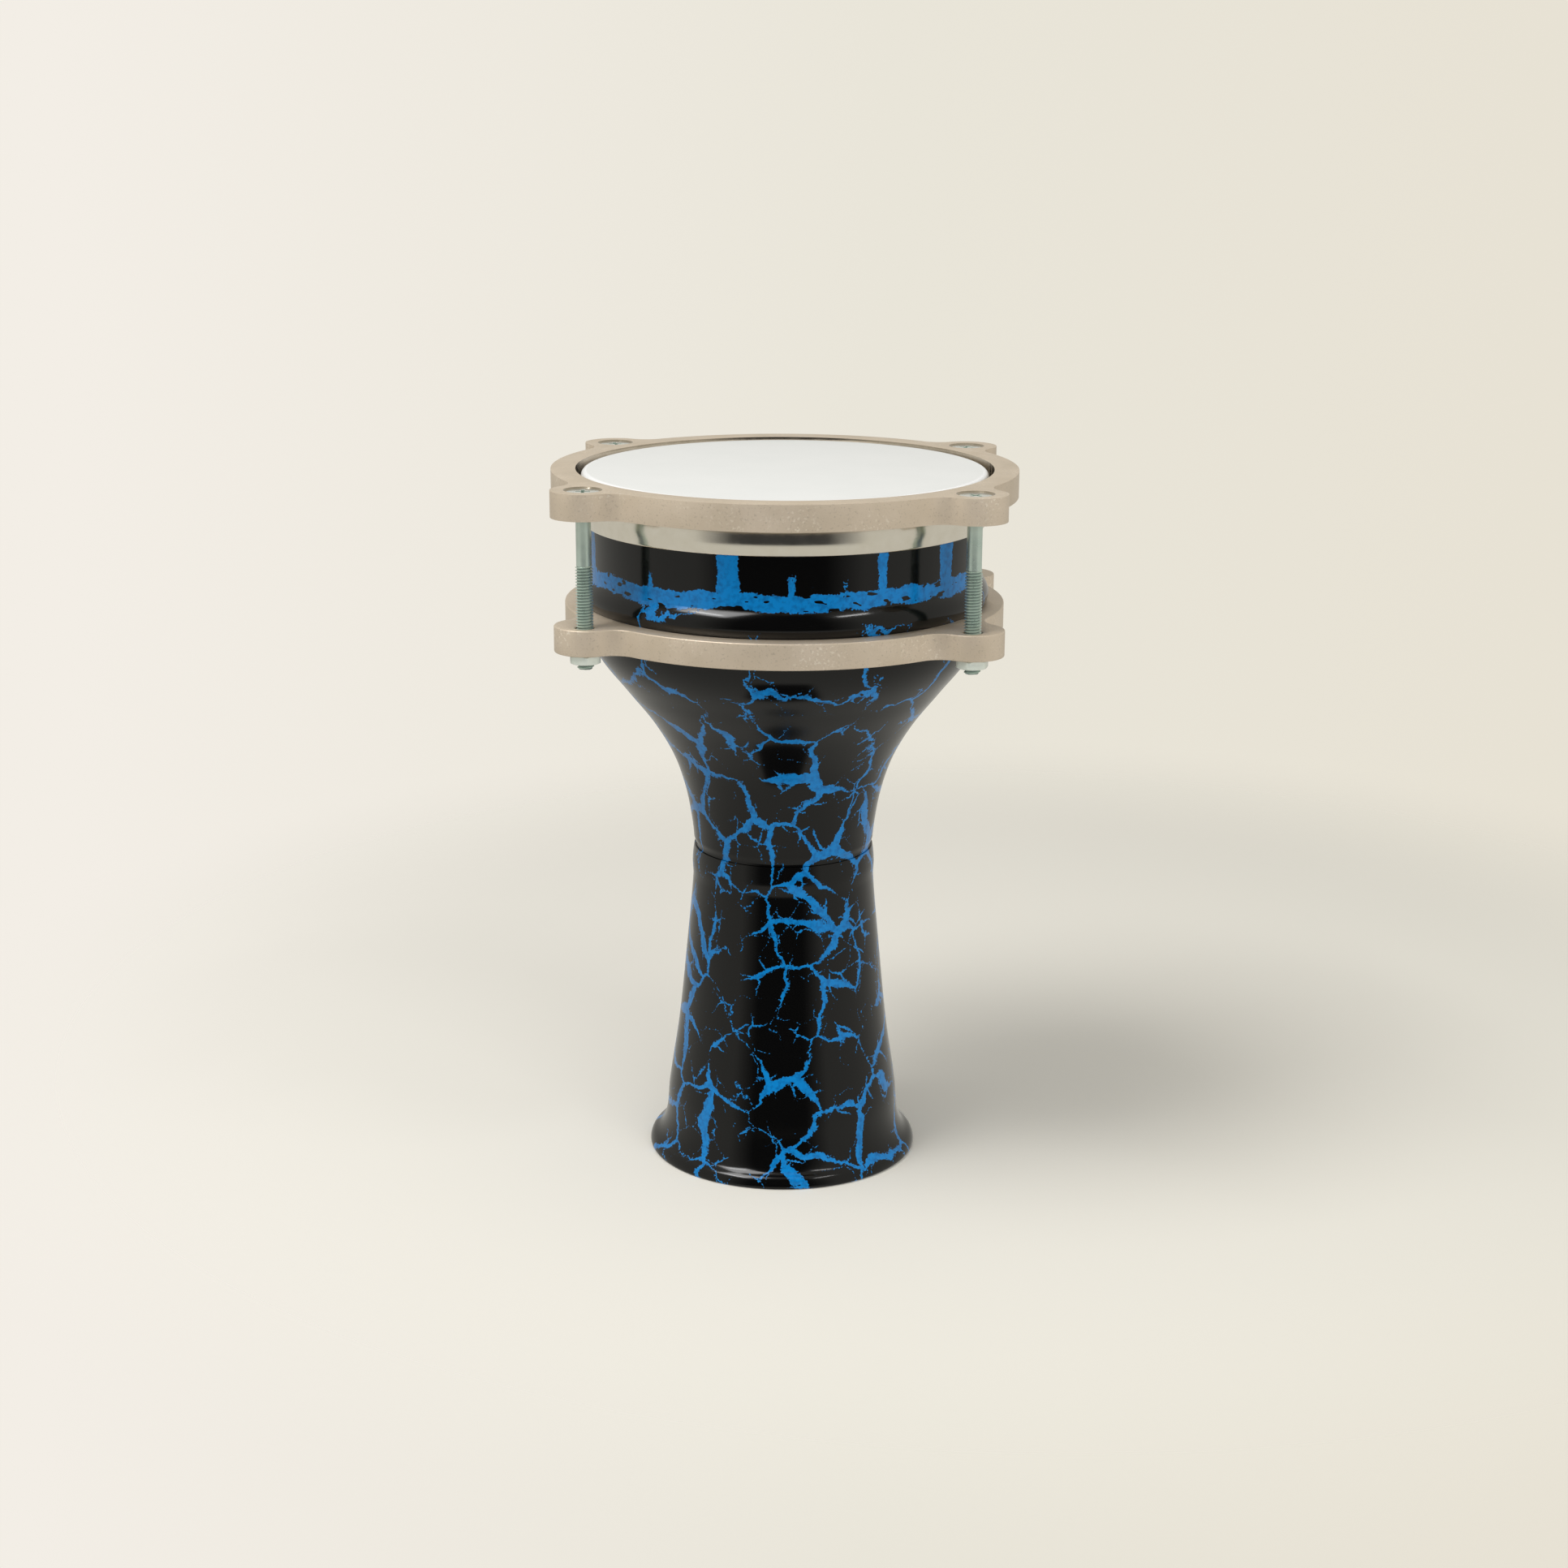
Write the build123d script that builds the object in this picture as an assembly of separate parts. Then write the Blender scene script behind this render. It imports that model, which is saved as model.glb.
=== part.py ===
from build123d import *
import os

# A small goblet drum (darbuka): a painted aluminium goblet with a plastic head
# that two lugged rings and four countersunk screws pull down over its rim.
# Millimetres, +Z up, origin on the floor under the middle of the foot.

# ---- driving dimensions ----
HEIGHT = 251.6                   # floor to the top of the tension ring

# The bowl: a thin casting whose neck ends in a spigot. Pairs are radius, height.
WALL = 2.6
RIM_RADIUS = 69.2                # outside of the straight upper wall
RIM_TOP = HEIGHT - 1.0
STRAIGHT_WALL_BOTTOM = 196.6
BOWL_BELLY = (66.3, 186.9)
BOWL_FLANK = (56.6, 174.2)
BOWL_UNDERSIDE = (46.9, 161.8)
BOWL_THROAT = (39.7, 149.4)
BOWL_NECK = (35.4, 137.0)
NECK_FOOT = (33.0, 124.6)
NECK_END = (32.1, 115.1)
NECK_SLOPE = (-0.05, 0, -1)      # the way its wall runs at its end
BEAD_RADIUS = 71.8
BEAD_HEIGHT = 9.0
BEAD_MIDDLE = 4.05               # height above its seat where it is widest
BEAD_SLOPE = 0.8                 # outwards for each step down, at its upper edge
BEAD_SEAT = 1.4                  # flat under the bead that the counter ring pulls on
SPIGOT_RADIUS = 31.0
SPIGOT_BOTTOM = 99.6

# The stem, from its sleeve down to the rounded foot.
JOINT_GAP = 0.1                  # glue line between spigot and sleeve
SLEEVE_TOP = (32.2, NECK_END[1] - JOINT_GAP)
SLEEVE_SLOPE = (0.2, 0, -1)
SLEEVE_BEAD = (32.85, 109.1)
SLEEVE_WAIST = (32.65, 103.1)
STEM_UPPER = (34.8, 79.1)
STEM_MIDDLE = (38.0, 48.1)
STEM_LOWER = (41.7, 23.6)
FOOT_COVE = (43.1, 10.6)
FOOT_RADIUS = 48.9
FOOT_ROUNDING = 4.2              # above the foot's widest circle
FOOT_EDGE = 0.8                  # and below it, down to the floor
FOOT_ARC_START = 60.0            # degrees above the foot's widest circle
FOOT_FLAT_INNER = 42.2           # inner edge of the flat that stands on the floor
FOOT_BORE_SLOPE = (0.2, 0, -1)

# The two lugged rings.
RING_THICKNESS = 9.0
LUG_RADIUS = 11.0
LUG_BLEND = 9.0                  # hollow curve between lug and ring
RING_EDGE = 0.6
SCREW_X = 64.8
SCREW_Y = 55.0
TENSION_OUTER = 81.6
TENSION_BORE = 73.0
REBATE_RADIUS = 75.6             # step under the tension ring that holds the head
REBATE_DEPTH = 2.3
COUNTER_TOP = 205.1
COUNTER_OUTER = 77.3
COUNTER_BORE = 69.5
COUNTER_LUG_Y = 50.0             # its lugs sit further in than the screws
RING_HOLE = 3.25
COUNTERSINK = 6.5

# The drumhead: film, hoop, and the flat ring that traps the film's brim.
FILM = 0.3
FILM_TOP = HEIGHT - 0.6
FILM_RADIUS = 71.1
FILM_CORNER = 2.0
BRIM_RADIUS = 75.0
HOOP_WALL = 1.2
HOOP_OUTER = 70.9
HOOP_BOTTOM = 232.6
HOOP_ROUNDING = 0.9
FLANGE = 1.0
FLANGE_RADIUS = 75.3
LOCK_RING_INNER = 71.35
LOCK_RING = 0.9

# M6 x 60 countersunk screws with a cross recess, and thin M6 nuts.
SCREW_LENGTH = 60.0
SCREW_TOP = HEIGHT - 0.5         # the head sits a little below the ring's face
HEAD_RADIUS = 5.5
HEAD_LIP = 0.3
SHANK_RADIUS = 2.55
THREAD_RADIUS = 2.95
THREAD_LENGTH = 36.0
TIP_CHAMFER = 0.7
RECESS_SPAN = 6.6
RECESS_SLOT = 1.6
RECESS_DEPTH = 2.8
RECESS_TAPER = 10.0
NUT_ACROSS_FLATS = 10.0
NUT_HEIGHT = 3.0
NUT_BORE = 3.0
NUT_FACE = 4.8                   # radius of the flat inside the nut's chamfer
NUT_CHAMFER = 0.55

# Each corner: name, side in x, side in y, turn of its nut, turn of its recess.
CORNERS = (
    ("front_left", -1, -1, 10.0, 4.0),
    ("front_right", 1, -1, 46.0, 41.0),
    ("back_right", 1, 1, 22.0, 68.0),
    ("back_left", -1, 1, 35.0, 17.0),
)

# Heights that follow from those above.
RING_BOTTOM = HEIGHT - RING_THICKNESS
COUNTER_BOTTOM = COUNTER_TOP - RING_THICKNESS
FLANGE_TOP = RING_BOTTOM + FLANGE
BRIM_TOP = FLANGE_TOP + FILM
SCREW_TIP = SCREW_TOP - SCREW_LENGTH

DOWN = (0, 0, -1)
PAST = 1.0                       # a cutting shape runs past the faces by this much
NEAR = 0.01                      # nearer than this, a point lies on a circle


def at(radius, height):
    """A point of a half section, in the XZ plane."""
    return Vector(radius, 0, height)


def arc_at(radius, height, size, start, sweep):
    """An arc of a half section: its centre, its radius, and degrees from outwards towards up."""
    return Plane.XZ * CenterArc((radius, height), size, start, sweep)


def turned(*edges):
    """A solid of revolution from the edges of a closed half section."""
    return revolve(make_face(list(edges)), Axis.Z)


def turned_polyline(*points):
    """A solid of revolution from the corners of a half section."""
    return revolve(make_face(Polyline(*[at(*p) for p in points], close=True)), Axis.Z)


def wall_inside(outside, count, start_tangent, end_tangent):
    """The inner curve of a wall: points of the outer one, moved in by its thickness."""
    points = []
    for step in range(count + 1):
        along = outside % (step / count)
        points.append(outside @ (step / count) + Vector(along.Z, 0, -along.X) * WALL)
    return Spline(*points, tangents=[start_tangent, end_tangent])


def make_bowl():
    """Bowl: rounded rim, straight wall with its bead, the curve to the neck, the spigot."""
    places = (BOWL_BELLY, BOWL_FLANK, BOWL_UNDERSIDE, BOWL_THROAT, BOWL_NECK, NECK_FOOT, NECK_END)
    wall_foot = at(RIM_RADIUS, STRAIGHT_WALL_BOTTOM)
    neck_end = at(*NECK_END)
    outside = Spline(wall_foot, *[at(*p) for p in places], tangents=[DOWN, NECK_SLOPE])
    inside = wall_inside(outside, len(places), DOWN, NECK_SLOPE)

    rim_inner = at(RIM_RADIUS - WALL, RIM_TOP - WALL / 2)
    rim_outer = at(RIM_RADIUS, RIM_TOP - WALL / 2)
    bead_top = at(RIM_RADIUS, COUNTER_TOP + BEAD_HEIGHT)
    bead_side = at(BEAD_RADIUS, COUNTER_TOP + BEAD_MIDDLE)
    bead_edge = at(RIM_RADIUS + BEAD_SEAT, COUNTER_TOP)
    bead_foot = at(RIM_RADIUS, COUNTER_TOP)
    spigot_top = at(SPIGOT_RADIUS, NECK_END[1])
    spigot_end = at(SPIGOT_RADIUS, SPIGOT_BOTTOM)
    bore_end = at((inside @ 1).X, SPIGOT_BOTTOM)
    return turned(
        ThreePointArc(rim_inner, at(RIM_RADIUS - WALL / 2, RIM_TOP), rim_outer),
        Line(rim_outer, bead_top),
        Spline(bead_top, bead_side, bead_edge, tangents=[(BEAD_SLOPE, 0, -1), (-BEAD_SLOPE, 0, -1)]),
        Line(bead_edge, bead_foot),
        Line(bead_foot, wall_foot),
        outside,
        Line(neck_end, spigot_top),
        Line(spigot_top, spigot_end),
        Line(spigot_end, bore_end),
        Line(bore_end, inside @ 1),
        inside,
        Line(inside @ 0, rim_inner),
    )


def make_stem():
    """Stem: a sleeve round the spigot, a flaring wall and a rounded foot."""
    foot_arc = arc_at(FOOT_RADIUS - FOOT_ROUNDING, FOOT_EDGE, FOOT_ROUNDING, FOOT_ARC_START, -FOOT_ARC_START)
    foot_edge = arc_at(FOOT_RADIUS - FOOT_EDGE, FOOT_EDGE, FOOT_EDGE, 0, -90)
    foot_start, foot_end = foot_arc @ 0, foot_edge @ 1
    places = (SLEEVE_BEAD, SLEEVE_WAIST, STEM_UPPER, STEM_MIDDLE, STEM_LOWER, FOOT_COVE)
    outside = Spline(
        at(*SLEEVE_TOP),
        *[at(*p) for p in places],
        foot_start,
        tangents=[SLEEVE_SLOPE, foot_arc % 0],
    )
    sleeve_bore = SPIGOT_RADIUS + JOINT_GAP / 2
    ledge = SPIGOT_BOTTOM - JOINT_GAP
    bore = [at(radius - WALL, height) for radius, height in (STEM_UPPER, STEM_MIDDLE, STEM_LOWER, FOOT_COVE)]
    inside = Spline(at(SLEEVE_WAIST[0] - WALL, ledge), *bore, tangents=[DOWN, FOOT_BORE_SLOPE])
    foot_inner = at(FOOT_FLAT_INNER, 0)
    return turned(
        outside,
        foot_arc,
        foot_edge,
        Line(foot_end, foot_inner),
        Line(foot_inner, inside @ 1),
        inside,
        Line(inside @ 0, at(sleeve_bore, ledge)),
        Line(at(sleeve_bore, ledge), at(sleeve_bore, SLEEVE_TOP[1])),
        Line(at(sleeve_bore, SLEEVE_TOP[1]), at(*SLEEVE_TOP)),
    )


def lugged_ring(outer, bore, lug_x, lug_y, bottom):
    """A flat cast ring with four round lugs that blend into its rim."""
    outline = Circle(outer)
    lugs = [Vector(x * lug_x, y * lug_y) for _, x, y, _, _ in CORNERS]
    for lug in lugs:
        outline += Pos(lug.X, lug.Y) * Circle(LUG_RADIUS)
    hollows = [
        v for v in outline.vertices()
        if any(abs((Vector(v.X, v.Y) - lug).length - LUG_RADIUS) < NEAR for lug in lugs)
        and abs(Vector(v.X, v.Y).length - outer) < NEAR
    ]
    outline = fillet(hollows, LUG_BLEND) - Circle(bore)
    ring = Pos(0, 0, bottom) * extrude(outline, RING_THICKNESS)
    rims = ring.edges().group_by(Axis.Z)
    return fillet(rims[0] + rims[-1], RING_EDGE)


def make_tension_ring():
    """Upper ring: a rebate below for the head's flange, and countersunk screw holes."""
    ring = lugged_ring(TENSION_OUTER, TENSION_BORE, SCREW_X, SCREW_Y, RING_BOTTOM)
    ring -= Pos(0, 0, RING_BOTTOM + REBATE_DEPTH / 2) * Cylinder(REBATE_RADIUS, REBATE_DEPTH)
    cone_end = HEIGHT - COUNTERSINK + RING_HOLE
    hole = turned_polyline(
        (0, HEIGHT + PAST), (COUNTERSINK + PAST, HEIGHT + PAST), (RING_HOLE, cone_end),
        (RING_HOLE, RING_BOTTOM - PAST), (0, RING_BOTTOM - PAST),
    )
    for _, x, y, _, _ in CORNERS:
        ring -= Pos(x * SCREW_X, y * SCREW_Y, 0) * hole
    return ring


def make_counter_ring():
    """Lower ring: plain screw holes; it pulls up against the bowl's bead."""
    ring = lugged_ring(COUNTER_OUTER, COUNTER_BORE, SCREW_X, COUNTER_LUG_Y, COUNTER_BOTTOM)
    hole = Cylinder(RING_HOLE, RING_THICKNESS + 2 * PAST)
    for _, x, y, _, _ in CORNERS:
        ring -= Pos(x * SCREW_X, y * SCREW_Y, COUNTER_BOTTOM + RING_THICKNESS / 2) * hole
    return ring


def make_film():
    """Head film: a flat disc, a rounded corner, a collar and a narrow brim."""
    flat_edge = FILM_RADIUS - FILM_CORNER
    corner_height = FILM_TOP - FILM_CORNER
    inner = FILM_RADIUS - FILM
    return turned(
        Line(at(0, FILM_TOP), at(flat_edge, FILM_TOP)),
        arc_at(flat_edge, corner_height, FILM_CORNER, 90, -90),
        Line(at(FILM_RADIUS, corner_height), at(FILM_RADIUS, BRIM_TOP)),
        Line(at(FILM_RADIUS, BRIM_TOP), at(BRIM_RADIUS, BRIM_TOP)),
        Line(at(BRIM_RADIUS, BRIM_TOP), at(BRIM_RADIUS, FLANGE_TOP)),
        Line(at(BRIM_RADIUS, FLANGE_TOP), at(inner, FLANGE_TOP)),
        Line(at(inner, FLANGE_TOP), at(inner, corner_height)),
        arc_at(flat_edge, corner_height, FILM_CORNER - FILM, 0, 90),
        Line(at(flat_edge, FILM_TOP - FILM), at(0, FILM_TOP - FILM)),
        Line(at(0, FILM_TOP - FILM), at(0, FILM_TOP)),
    )


def make_hoop():
    """Hoop: a polished collar with a rolled lower edge and a flange on top."""
    hoop = turned_polyline(
        (HOOP_OUTER - HOOP_WALL, FLANGE_TOP), (FLANGE_RADIUS, FLANGE_TOP), (FLANGE_RADIUS, RING_BOTTOM),
        (HOOP_OUTER, RING_BOTTOM), (HOOP_OUTER, HOOP_BOTTOM), (HOOP_OUTER - HOOP_WALL, HOOP_BOTTOM),
    )
    rolled = hoop.edges().group_by(Axis.Z)[0].sort_by(SortBy.RADIUS)[-1]
    hoop = fillet(rolled, HOOP_ROUNDING)
    bend = hoop.edges().filter_by(GeomType.CIRCLE).group_by(Axis.Z)[-2].sort_by(SortBy.RADIUS)[0]
    return fillet(bend, HOOP_ROUNDING)


def make_lock_ring():
    """Flat ring glued over the film's brim; the tension ring bears on it."""
    return turned_polyline(
        (LOCK_RING_INNER, BRIM_TOP), (BRIM_RADIUS, BRIM_TOP),
        (BRIM_RADIUS, BRIM_TOP + LOCK_RING), (LOCK_RING_INNER, BRIM_TOP + LOCK_RING),
    )


def make_screw(recess_turn):
    """Countersunk screw on the Z axis: cross recess, plain shank, thread as a cylinder."""
    cone_top = SCREW_TOP - HEAD_LIP
    cone_end = cone_top - (HEAD_RADIUS - SHANK_RADIUS)
    thread_top = SCREW_TIP + THREAD_LENGTH
    step = THREAD_RADIUS - SHANK_RADIUS
    screw = turned_polyline(
        (0, SCREW_TOP), (HEAD_RADIUS, SCREW_TOP), (HEAD_RADIUS, cone_top), (SHANK_RADIUS, cone_end),
        (SHANK_RADIUS, thread_top), (THREAD_RADIUS, thread_top - step),
        (THREAD_RADIUS, SCREW_TIP + TIP_CHAMFER), (THREAD_RADIUS - TIP_CHAMFER, SCREW_TIP), (0, SCREW_TIP),
    )
    cross = Rectangle(RECESS_SPAN, RECESS_SLOT) + Rectangle(RECESS_SLOT, RECESS_SPAN)
    recess = extrude(cross, -RECESS_DEPTH, taper=RECESS_TAPER)
    return screw - Pos(0, 0, SCREW_TOP) * Rot(0, 0, recess_turn) * recess


def make_nut(turn):
    """Thin hexagon nut on the Z axis, chamfered on both faces, under the counter ring."""
    outside = NUT_ACROSS_FLATS       # past the hexagon's corners
    hexagon = extrude(RegularPolygon(NUT_ACROSS_FLATS / 2, 6, major_radius=False), NUT_HEIGHT)
    envelope = turned_polyline(
        (NUT_BORE, 0), (NUT_FACE, 0), (NUT_FACE + 2 * NUT_CHAMFER, NUT_CHAMFER), (outside, NUT_CHAMFER),
        (outside, NUT_HEIGHT - NUT_CHAMFER), (NUT_FACE + 2 * NUT_CHAMFER, NUT_HEIGHT - NUT_CHAMFER),
        (NUT_FACE, NUT_HEIGHT), (NUT_BORE, NUT_HEIGHT),
    )
    return Pos(0, 0, COUNTER_BOTTOM - NUT_HEIGHT) * Rot(0, 0, turn) * (hexagon & envelope)


def save(name, solid):
    """Write one sub-part and print its size."""
    export_step(solid, f"parts/{name}.step")
    size = solid.bounding_box().size
    print(f"{name}: {size.X:.1f} x {size.Y:.1f} x {size.Z:.1f} mm, {solid.volume:.0f} mm3")


def main():
    os.makedirs("parts", exist_ok=True)
    save("shell_bowl", make_bowl())
    save("shell_stem", make_stem())
    save("tension_ring", make_tension_ring())
    save("counter_ring", make_counter_ring())
    save("head_film", make_film())
    save("head_hoop", make_hoop())
    save("head_lock_ring", make_lock_ring())
    for name, x, y, nut_turn, recess_turn in CORNERS:
        place = Pos(x * SCREW_X, y * SCREW_Y, 0)
        save(f"tension_screw_{name}", place * make_screw(recess_turn))
        save(f"tension_nut_{name}", place * make_nut(nut_turn))


main()
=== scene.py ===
# %% [markdown]
# A small goblet drum, painted black over blue, with a plastic head.
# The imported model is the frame: it says where every part is and how it moves.
# The cells below model each part again in Blender, part by part, with the edges, the screw
# threads and the finishes that the plain frame leaves out, and ride it on the same body.

# %% The frame
import math

import bpy
import numpy as np
from mathutils import Matrix, Vector
from mathutils.geometry import interpolate_bezier


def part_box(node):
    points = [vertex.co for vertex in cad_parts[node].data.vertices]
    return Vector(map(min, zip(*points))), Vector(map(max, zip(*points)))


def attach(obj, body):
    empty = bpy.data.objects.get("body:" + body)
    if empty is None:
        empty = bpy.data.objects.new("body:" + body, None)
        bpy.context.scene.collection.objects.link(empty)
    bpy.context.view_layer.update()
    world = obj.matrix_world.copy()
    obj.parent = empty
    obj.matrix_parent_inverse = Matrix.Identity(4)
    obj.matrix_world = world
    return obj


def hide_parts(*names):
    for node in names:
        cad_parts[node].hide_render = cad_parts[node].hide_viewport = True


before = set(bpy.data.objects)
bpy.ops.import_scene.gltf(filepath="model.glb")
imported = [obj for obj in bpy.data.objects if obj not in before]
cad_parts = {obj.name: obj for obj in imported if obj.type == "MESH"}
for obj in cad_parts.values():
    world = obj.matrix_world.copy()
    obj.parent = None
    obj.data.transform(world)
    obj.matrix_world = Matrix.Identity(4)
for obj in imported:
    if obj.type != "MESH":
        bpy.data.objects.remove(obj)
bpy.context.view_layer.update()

MM = 0.001

# %% [markdown]
# Every operator works on whatever is selected, and the loaded frame starts out selected.
# So each job begins with an empty selection. New work is then the only thing that changes.

# %% Start clean
def clear_selection():
    """Object mode, with nothing selected."""
    if bpy.context.mode != "OBJECT":
        bpy.ops.object.mode_set(mode="OBJECT")
    bpy.ops.object.select_all(action="DESELECT")


def choose(*parts):
    """Object mode, with only these parts selected and the last one active."""
    clear_selection()
    for part in parts:
        part.select_set(True)
    bpy.context.view_layer.objects.active = parts[-1]


clear_selection()
print("selected:", len(bpy.context.selected_objects))

# %% [markdown]
# The places come from the frame. The box round a node gives its top, its bottom and its widest
# radius, and the middle of a screw's box is the line that the screw turns about.

# %% Places read from the frame
def half_width(node):
    """Half the width of a node across X."""
    low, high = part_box(node)
    return (high[0] - low[0]) / 2


def span(node):
    """The lowest and highest level of a node."""
    low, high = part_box(node)
    return low[2], high[2]


def axis_of(node):
    """The middle of a node, seen from above."""
    low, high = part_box(node)
    return (low[0] + high[0]) / 2, (low[1] + high[1]) / 2


CORNERS = ("front_left", "front_right", "back_right", "back_left")
ring_bottom, ring_top = span("tension_ring")
counter_bottom, counter_top = span("counter_ring")
rim_top = span("shell_bowl")[1]
hoop_bottom, flange_top = span("head_hoop")
film_top = span("head_film")[1]
lock_bottom, lock_top = span("head_lock_ring")
screw_tip, screw_top = span("tension_screw_front_left")
nut_bottom = span("tension_nut_front_left")[0]
foot_radius = half_width("shell_stem")
bead_radius = half_width("shell_bowl")
print(f"rings at {counter_bottom:.4f} and {ring_bottom:.4f} m, foot radius {foot_radius:.4f} m")

# %% [markdown]
# Most of a drum is turned. A half section is drawn first, as a pencil line in the XZ plane:
# one corner of a plane is kept, and each further corner is extruded from the last one.
# Spinning that line round the drum's axis gives the part, as a lathe would.
# A curve through given points is drawn as short Bezier spans, which keeps it fair where a subdivided polygon
# would shrink away from its points.

# %% A pencil line and a lathe
def faired(points, pieces=8, lead_in=None, lead_out=None):
    """A smooth curve through points, each span cut into that many pieces."""
    knots = [Vector(point) for point in points]
    slopes = [(b - a).normalized() for a, b in zip(knots, knots[2:])]
    first = Vector(lead_in) if lead_in else knots[1] - knots[0]
    last = Vector(lead_out) if lead_out else knots[-1] - knots[-2]
    slopes = [first.normalized()] + slopes + [last.normalized()]
    curve = [knots[0]]
    for start, end, leave, arrive in zip(knots, knots[1:], slopes, slopes[1:]):
        reach = (end - start).length / 3
        curve += interpolate_bezier(start, start + leave * reach, end - arrive * reach, end, pieces + 1)[1:]
    return [tuple(point) for point in curve]


def arc(centre, radius, start, end, pieces=6):
    """Points of a round corner, angles in degrees from outwards towards up."""
    angles = [math.radians(start + (end - start) * step / pieces) for step in range(pieces + 1)]
    return [(centre[0] + radius * math.cos(a), centre[1] + radius * math.sin(a)) for a in angles]


def pencil_line(name, points):
    """A new object that is one line through points given as x, y, z."""
    clear_selection()
    bpy.ops.mesh.primitive_plane_add(size=MM)
    line = bpy.context.object
    line.name = name
    bpy.ops.object.mode_set(mode="EDIT")
    bpy.ops.mesh.merge(type="CENTER")
    here = Vector((0, 0, 0))
    bpy.ops.transform.translate(value=Vector(points[0]) - here)
    for start, end in zip(points, points[1:]):
        step = Vector(end) - Vector(start)
        bpy.ops.mesh.extrude_region_move(TRANSFORM_OT_translate={"value": step})
    return line


WELD = 0.000002          # corners nearer than this are one corner


def turned(name, section, steps=192):
    """A part spun round the Z axis from a half section of (radius, height) corners."""
    part = pencil_line(name, [(radius, 0, height) for radius, height in section])
    bpy.ops.mesh.select_all(action="SELECT")
    bpy.ops.mesh.spin(steps=steps, angle=math.tau, center=(0, 0, 0), axis=(0, 0, 1))
    bpy.ops.mesh.select_all(action="SELECT")
    bpy.ops.mesh.remove_doubles(threshold=WELD)
    bpy.ops.mesh.normals_make_consistent(inside=False)
    bpy.ops.object.mode_set(mode="OBJECT")
    return part


def soften(part, angle):
    """Smooth shading, with edges sharper than the angle left crisp."""
    choose(part)
    bpy.ops.object.shade_smooth_by_angle(angle=math.radians(angle))
    print(f"{part.name}: {len(part.data.polygons)} faces")


def use(part, kind, **settings):
    """Add a modifier to a part and apply it."""
    choose(part)
    modifier = part.modifiers.new(kind.lower(), kind)
    for name, value in settings.items():
        setattr(modifier, name, value)
    bpy.ops.object.modifier_apply(modifier=modifier.name)


def cut(part, tool, operation="DIFFERENCE"):
    """Take a tool's shape out of a part, and throw the tool away."""
    use(part, "BOOLEAN", object=tool, operation=operation, solver="EXACT")
    bpy.data.objects.remove(tool)


# %% [markdown]
# The shell is two aluminium castings. The bowl has a straight upper wall with a bead round it,
# curves in to a neck and ends in a spigot. Its wall is drawn whole, outside and inside,
# so that the rim, the wall's thickness and the hollow are all there when it is looked into.

# %% The bowl
WALL = 2.6 * MM
RIM_RADIUS = 69.2 * MM
bead_top = counter_top + 9.0 * MM
BOWL_CURVE = [(69.2, 196.6), (66.3, 186.9), (56.6, 174.2), (46.9, 161.8), (39.7, 149.4), (35.4, 137.0),
              (33.0, 124.6), (32.1, 115.1)]
SPIGOT_RADIUS = 31.0 * MM
SPIGOT_BOTTOM = 99.6 * MM
COVE_TOP = 118.0 * MM    # a hollow runs round the neck just above the stem
COVE_RADIUS = 31.7 * MM
DOWN = (0, -1)


def inwards(curve, distance):
    """A curve moved sideways by a distance, towards the axis on the way down."""
    tangents = [(Vector(b) - Vector(a)).normalized() for a, b in zip(curve[:-1], curve[1:])]
    tangents.append(tangents[-1])
    return [(p[0] + t.y * distance, p[1] - t.x * distance) for p, t in zip(curve, tangents)]


bowl_outside = faired([(r * MM, z * MM) for r, z in BOWL_CURVE], lead_in=DOWN, lead_out=(-0.05, -1))
neck_end = bowl_outside[-1][1]
above_cove = [point for point in bowl_outside if point[1] > COVE_TOP]
cove = faired([above_cove[-1], (COVE_RADIUS, neck_end + 1.0 * MM), (COVE_RADIUS, neck_end)], lead_in=DOWN)
rim = arc((RIM_RADIUS - WALL / 2, rim_top - WALL / 2), WALL / 2, 180, 0)
bead = faired(
    [(RIM_RADIUS, bead_top), (bead_radius, counter_top + 4.2 * MM), (RIM_RADIUS + 1.4 * MM, counter_top)],
    lead_in=(0.9, -1), lead_out=(-0.9, -1),
)
bowl_section = (
    rim + bead + [(RIM_RADIUS, counter_top)] + above_cove + cove[1:]
    + [(SPIGOT_RADIUS, neck_end), (SPIGOT_RADIUS, SPIGOT_BOTTOM)]
    + [(inwards(bowl_outside, WALL)[-1][0], SPIGOT_BOTTOM)]
    + inwards(bowl_outside, WALL)[::-1] + [rim[0]]
)
bowl = turned("bowl", bowl_section)
soften(bowl, 35)

# %% [markdown]
# The stem is the lower casting: a sleeve over the bowl's spigot, a soft shoulder and waist,
# a wall that flares down, and a rounded foot. The foot is widest just above the floor.

# %% The stem
SLEEVE_TOP = (32.2, 115.0)
STEM_CURVE = [(32.85, 109.1), (32.65, 103.1), (34.8, 79.1), (38.0, 48.1), (41.7, 23.6), (43.1, 10.6)]
FOOT_ROUNDING = 4.2 * MM
FOOT_EDGE = 0.8 * MM
FOOT_FLAT_INNER = 42.2 * MM
sleeve_bore = 31.05 * MM
ledge = 99.5 * MM
foot = arc((foot_radius - FOOT_ROUNDING, FOOT_EDGE), FOOT_ROUNDING, 60, 0, 8)
foot += arc((foot_radius - FOOT_EDGE, FOOT_EDGE), FOOT_EDGE, 0, -90, 4)[1:]
stem_outside = faired(
    [(r * MM, z * MM) for r, z in [SLEEVE_TOP] + STEM_CURVE] + [foot[0]],
    lead_in=(0.2, -1), lead_out=(0.87, -0.5),
)
bore = [(r * MM - WALL, z * MM) for r, z in STEM_CURVE[2:]]
stem_inside = faired([(30.05 * MM, ledge)] + bore + [(FOOT_FLAT_INNER, 0)], lead_in=DOWN, lead_out=(0.2, -1))
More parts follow.
